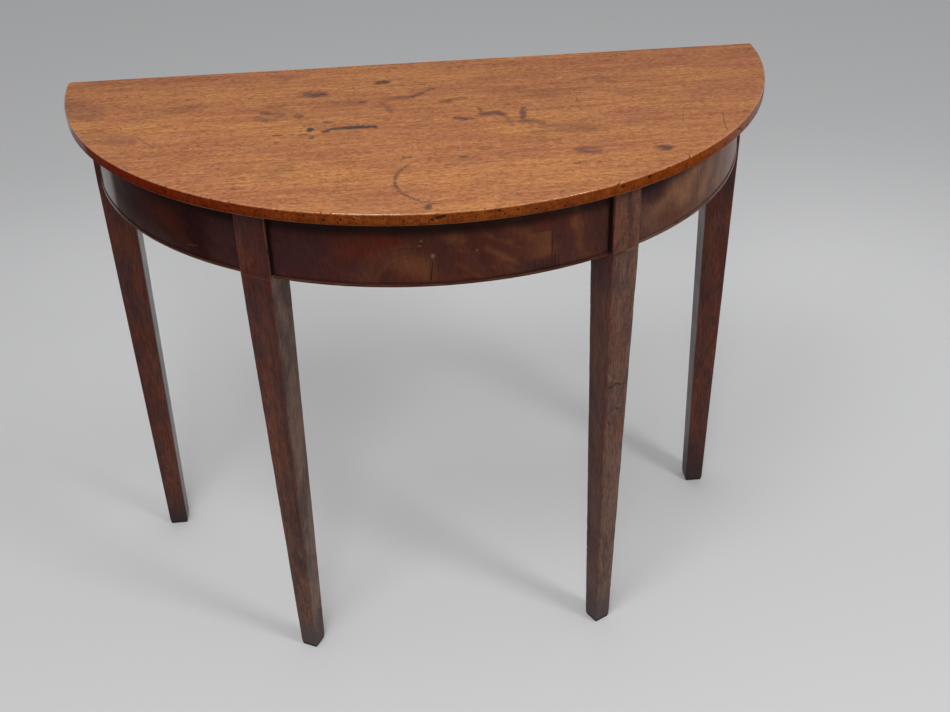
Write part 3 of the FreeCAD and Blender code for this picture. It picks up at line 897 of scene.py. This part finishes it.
def buildTop(look):
    outline = topOutline(look)
    nicks, chips = spreadNicks(look), look["chips"]
    thick = topZ - underside
    hub = Vector((0, backY - topRadius * look["hub"]))
    slow, quick = look["arrisDrift"]
    rippleX, rippleY = look["rippleDrift"]
    points = []
    masks = {"arris": [], "nick": [], "chip": []}
    for place, out, turn in outline:
        drift = noise.noise(Vector((place.x * slow, place.y * slow, 1.7)))
        fine = noise.noise(Vector((place.x * quick, place.y * quick, 4.2)))
        upper = between(look["upperArris"], 0.5 + 0.9 * drift + 0.35 * fine)
        lower = between(look["lowerArris"], 0.5 - 0.9 * drift)
        section = topSection(upper, lower, thick)
        near = nearMarks(nicks, turn)
        pale = nearMarks(chips, turn)
        for inset, drop, share in section:
            push = dark = chip = 0.0
            if drop is None or share < 0:
                flat = place + (hub - place) * inset
                depth = drop or 0.0
            else:
                level = drop - max(0.0, inset - upper) if drop < thick / 2 else drop
                push, dark = dentAt(near, turn, level, look["darkDepth"])
                palePush, chip = dentAt(pale, turn, level, look["darkDepth"])
                push = max(push, palePush)
                flat = place - out * (inset + push)
                depth = drop + (push * look["dentDrop"] if drop < upper else 0.0)
            z = topZ - depth
            if depth < 1e-6:
                z -= look["ripple"] * (1 + noise.noise(Vector((flat.x * rippleX, flat.y * rippleY, 0.3))))
            points.append((flat.x, flat.y, z))
            for label, value in (("arris", max(0.0, share)), ("nick", dark), ("chip", chip)):
                masks[label].append(value)
    rows, count = len(section), len(outline)
    faces = []
    for k in range(count):
        after = (k + 1) % count
        for row in range(rows - 1):
            faces.append((k * rows + row, k * rows + row + 1, after * rows + row + 1, after * rows + row))
    faces.append([k * rows for k in range(count)])
    faces.append([k * rows + rows - 1 for k in reversed(range(count))])
    mesh = bpy.data.meshes.new("tableTop")
    mesh.from_pydata(points, [], faces)
    for label, values in masks.items():
        keepValues(mesh, label, values)
    mesh.shade_smooth()
    mesh.materials.append(topWood)
    standFor(plainPiece("tableTop", mesh), "top_mahogany", "top")


buildTop(topLook)


# legs: a square stile above the knee, tapering to a small worn foot
legLook = {
    "Arris": 0.0018,        # corner radius at the stile
    "Wear": 0.0005,         # how far rubbed corners draw in
    "Dent": 0.0009,
    "Foot Round": 0.0011,
}


def makeLegTree():
    rings, cornerSteps, sideCuts, heelHeight = 210, 4, 5, 0.012
    tree, given, result = newTree(
        "taperedLeg", "Stile", "Foot", "Set In", "Knee", "Top", "Arris", "Wear", "Dent", "Foot Round",
        "Slot From", "Slot To", "Seed", others=[("Bridled", "Bool")])
    line = geometry("CurvePrimitiveLine", {"End": combine(z=given["Top"])})
    line = geometry("ResampleCurve", {"Curve": line, "Count": rings})
    bend = maths("DIVIDE", given["Arris"], given["Stile"])
    mesh = sweepBox(line, 1, 1, bend, cornerSteps, sideCuts)

    # square section to taper, foot rounding and set-in
    x, y, z = separate(geometry("InputPosition", {}, tree))
    below = mapRange(z, given["Knee"], 0, smooth=False)
    size = mapRange(below, 0, 1, given["Stile"], given["Foot"], smooth=False)
    heel = maths("POWER", mapRange(z, 0, heelHeight, 1, 0, smooth=False), 2.5)
    size = minus(size, times(heel, given["Foot Round"], 2))
    corner = maths("MINIMUM", maths("ABSOLUTE", x), maths("ABSOLUTE", y))
    arris = mapRange(corner, minus(0.5, bend), maths("MULTIPLY_ADD", bend, -0.35, 0.5))
    seeded = maths("ADD", x, given["Seed"])
    rub = mapRange(noiseOf(combine(seeded, y, times(z, 11)), 1.6, 3, 0.6), 0.42, 0.72)
    knocks = mapRange(noiseOf(combine(seeded, y, times(z, 40)), 2.1, 1), 0.67, 0.8)
    draw = maths("MULTIPLY_ADD", rub, given["Wear"], times(knocks, given["Dent"]))
    size = minus(size, times(draw, arris, 2))
    place = combine(minus(times(x, size), times(below, given["Set In"])), times(y, size), z)
    for label, value in (("arris", arris), ("bruise", times(knocks, times(arris, 0.8)))):
        mesh = geometry("StoreNamedAttribute", {"Geometry": mesh, "Name": label, "Value": value})
    mesh = geometry("SetPosition", {"Geometry": mesh, "Position": place})

    # open slot of the bridle joint
    slotMiddle = times(maths("ADD", given["Slot To"], given["Slot From"]), 0.5)
    slotWide = minus(given["Slot To"], given["Slot From"])
    slotTall = times(minus(given["Top"], given["Knee"]), 2)
    slot = geometry("MeshCube", {"Size": combine(slotWide, times(given["Stile"], 2), slotTall)})
    slot = geometry("Transform", {"Geometry": slot, "Translation": combine(slotMiddle, 0, given["Top"])})
    cut = geometry("MeshBoolean", {0: mesh, 1: slot}, operation="DIFFERENCE", solver="EXACT")
    mesh = geometry("Switch", {"Switch": given["Bridled"], "False": mesh, "True": cut}, input_type="GEOMETRY")
    finishTree(result, mesh, given["Material"])
    return tree


# the CAD leg's own sizes, in its own directions
def legPlan(node):
    corners = cornersOf(node)
    feet = [Vector(p) for p in {(round(co.x, 5), round(co.y, 5)) for co in corners if co.z < 1e-4}]
    footMiddle = sum(feet, Vector((0, 0))) / len(feet)
    edge = min((other - feet[0] for other in feet[1:]), key=lambda run: run.length)
    run = edge.normalized()
    ways = [run, -run, run.orthogonal(), -run.orthogonal()]
    outward = max(ways, key=lambda way: way.dot(footMiddle - middle))
    sideways = Vector((-outward.y, outward.x))
    stile = [co.xy for co in corners if co.z > friezeBottom + 0.001]
    reach = [p.dot(outward) for p in stile]
    spread = [p.dot(sideways) for p in stile]
    centre = (min(reach) + max(reach)) / 2
    stileMiddle = outward * centre + sideways * (min(spread) + max(spread)) / 2
    levels = sorted({round(co.xy.dot(outward) - centre, 4) for co in corners if abs(co.z - underside) < 1e-4})
    slot = levels[1:3] if len(levels) > 3 else (0.0, 0.0)
    values = {
        "Stile": max(spread) - min(spread), "Foot": edge.length, "Knee": friezeBottom, "Top": underside,
        "Set In": (stileMiddle - footMiddle).dot(outward),
        "Bridled": len(levels) > 3, "Slot From": slot[0], "Slot To": slot[1],
    }
    turn = Matrix.Rotation(math.atan2(outward.y, outward.x), 4, "Z")
    return values, Matrix.Translation((*stileMiddle, 0)) @ turn


def buildLegs(look):
    tree = makeLegTree()
    for number, corner in enumerate(("front_left", "front_right", "back_left", "back_right")):
        node = "leg_" + corner
        values, stand = legPlan(node)
        values.update(look)
        values.update({"Seed": 3.7 * number + 1.3, "Material": legWood})
        leg = growPiece("leg" + corner.title().replace("_", ""), tree, values)
        leg.data.transform(stand)
        keepValues(leg.data, "rightward", [normal.vector.x for normal in leg.data.vertex_normals])
        standFor(leg, "leg_mahogany", node)


buildLegs(legLook)


# veneers and beads: strips that follow the bow of the frieze
stripLook = {
    "veneer": {"Nose": 0.0002, "Bend": 1, "Ripple": 0.00025, "Cuts": 17},
    "bead": {"Nose": 0.001, "Bend": 4, "Ripple": 0.00012, "Cuts": 1},
}


def makeStripTree():
    tree, given, result = newTree(
        "bowedStrip", "Inner", "Outer", "Bottom", "Top", "From", "To", "Nose", "Ripple",
        others=[("Bend", "Int"), ("Cuts", "Int"), ("Steps", "Int")])
    arc = geometry("CurveArc", {
        "Resolution": given["Steps"], "Radius": times(maths("ADD", given["Inner"], given["Outer"]), 0.5),
        "Start Angle": minus(given["From"], math.pi / 2), "Sweep Angle": minus(given["To"], given["From"])})
    wide = minus(given["Outer"], given["Inner"])
    tall = minus(given["Top"], given["Bottom"])
    mesh = sweepBox(arc, wide, tall, given["Nose"], given["Bend"], given["Cuts"])
    place = geometry("InputPosition", {}, tree)
    out = vecMaths("NORMALIZE", stretched(place, (1, 1, 0)))
    swell = times(minus(noiseOf(place, 16), 0.62), given["Ripple"])
    lift = combine(z=times(maths("ADD", given["Bottom"], given["Top"]), 0.5))
    lift = vecMaths("ADD", lift, scaled(out, swell))
    lift = vecMaths("ADD", lift, (0, backY, 0))
    mesh = geometry("SetPosition", {"Geometry": mesh, "Offset": lift})
    finishTree(result, mesh, given["Material"])
    return tree


def stripPlan(node):
    station = 0.003
    corners = cornersOf(node)
    radii = [(co.xy - middle).length for co in corners]
    face = [co for co, radius in zip(corners, radii) if radius > friezeRadius - 0.0001]
    turns = [math.atan2(co.x, backY - co.y) for co in face]
    heights = [co.z for co in corners]
    return {"Inner": min(radii), "Outer": max(radii), "Bottom": min(heights), "Top": max(heights),
            "From": min(turns), "To": max(turns),
            "Steps": round((max(turns) - min(turns)) * friezeRadius / station)}


def buildStrips(look):
    tree = makeStripTree()
    kinds = (("veneer", friezeWood, "frieze_veneer"), ("bead", beadWood, "bead_mahogany"))
    for kind, wood, slotName in kinds:
        for side in ("left", "centre", "right"):
            node = "%s_%s" % (kind, side)
            values = stripPlan(node)
            values.update(look[kind])
            values["Material"] = wood
            standFor(growPiece(kind + side.title(), tree, values), slotName, node)


buildStrips(stripLook)

# lines across the front stiles: shallow strips that die away at both ends
lineLook = {"Nose": 0.001, "Fade": 0.0032, "Sink": 0.0022}


def makeLineTree():
    rings, cornerSteps = 60, 4
    tree, given, result = newTree("stileLine", "Wide", "Deep", "Tall", "Nose", "Fade", "Sink")
    half = times(given["Wide"], 0.5)
    line = geometry("CurvePrimitiveLine", {"Start": combine(y=times(half, -1)), "End": combine(y=half)})
    line = geometry("ResampleCurve", {"Curve": line, "Count": rings})
    mesh = sweepBox(line, given["Deep"], given["Tall"], given["Nose"], cornerSteps)
    side = maths("ABSOLUTE", separate(geometry("InputPosition", {}, tree))["Y"])
    sink = mapRange(side, minus(half, given["Fade"]), half, 0, given["Sink"])
    mesh = geometry("SetPosition", {"Geometry": mesh, "Offset": combine(times(sink, -1))})
    finishTree(result, mesh, given["Material"])
    return tree


def buildLines(look):
    tree = makeLineTree()
    for side in ("left", "right"):
        node = "stile_line_" + side
        _, stand = legPlan("leg_front_" + side)
        local = [stand.inverted() @ co for co in cornersOf(node)]
        low = Vector([min(co[axis] for co in local) for axis in range(3)])
        high = Vector([max(co[axis] for co in local) for axis in range(3)])
        deep, wide, tall = high - low
        values = {"Wide": wide, "Deep": deep, "Tall": tall, "Material": beadWood}
        values.update(look)
        line = growPiece("stileLine" + side.title(), tree, values)
        line.data.transform(stand @ Matrix.Translation((low + high) / 2))
        standFor(line, "bead_mahogany", node)


buildLines(lineLook)


# camera at the photograph's viewpoint
cameraView = {
    "place": Vector((-0.0846, -1.5114, 1.3439)),
    "yaw": 0.0888,        # turned to the right of straight ahead
    "pitch": 0.567,       # looking down
    "roll": -0.027,
    "lens": 48.92,
    "sensor": 36,
}


def addCamera(view):
    yaw, pitch, roll = view["yaw"], view["pitch"], view["roll"]
    ahead = Vector((math.sin(yaw) * math.cos(pitch), math.cos(yaw) * math.cos(pitch), -math.sin(pitch)))
    level = Vector((math.cos(yaw), -math.sin(yaw), 0))
    upright = level.cross(ahead)
    right = level * math.cos(roll) + upright * math.sin(roll)
    up = upright * math.cos(roll) - level * math.sin(roll)
    data = bpy.data.cameras.new("camera")
    data.lens = view["lens"]
    data.sensor_width = view["sensor"]
    data.sensor_fit = "HORIZONTAL"
    camera = plainPiece("camera", data)
    axes = Matrix((right, up, -ahead)).transposed().to_4x4()
    camera.matrix_world = Matrix.Translation(view["place"]) @ axes
    bpy.context.scene.camera = camera


addCamera(cameraView)

# floor and soft light
studio = {
    "floorRadius": 14.0,
    "floorSides": 96,
    "floorColour": (0.7, 0.7, 0.705, 1),
    "floorRoughness": 0.75,
    "worldColour": (0.98, 0.99, 1, 1),
    "worldLight": 0.42,
    "lamps": [
        # place, width, depth, power, aim, spread in degrees; the last lights only the floor behind
        ((-0.65, -1.1, 2.6), 0.9, 0.9, 17, (0, 0, 0.5), 180),
        ((-0.3, -2.0, 2.3), 0.7, 0.7, 15, (0, 0, 0.5), 180),
        ((1.55, -1.35, 2.2), 0.6, 0.6, 18, (0, 0, 0.5), 180),
        ((0.1, 0.8, 1.7), 2.8, 0.3, 1.1, (0.1, 0.79, 0), 55),
    ],
}


def addFloor(settings):
    sides, radius = settings["floorSides"], settings["floorRadius"]
    bpy.ops.mesh.primitive_circle_add(vertices=sides, radius=radius, fill_type="NGON")
    floor = bpy.context.object
    floor.name = "studioFloor"
    material, shader, _ = newMaterial("paleFloor")
    fill(shader, {"Base Color": settings["floorColour"], "Roughness": settings["floorRoughness"]})
    floor.data.materials.append(material)


def addLamps(settings):
    for number, (place, width, depth, power, aim, spread) in enumerate(settings["lamps"], 1):
        data = bpy.data.lights.new("softLamp%d" % number, "AREA")
        data.shape = "ELLIPSE"
        data.size = width
        data.size_y = depth
        data.energy = power
        data.spread = math.radians(spread)
        lamp = plainPiece(data.name, data)
        lamp.location = place
        lamp.rotation_euler = (Vector(aim) - Vector(place)).to_track_quat("-Z", "Y").to_euler()
    world = bpy.data.worlds.new("studioWorld")
    world.use_nodes = True
    background = world.node_tree.nodes["Background"]
    fill(background, {"Color": settings["worldColour"], "Strength": settings["worldLight"]})
    bpy.context.scene.world = world


addFloor(studio)
addLamps(studio)
bpy.context.scene.view_settings.view_transform = "Standard"
print("studio set")
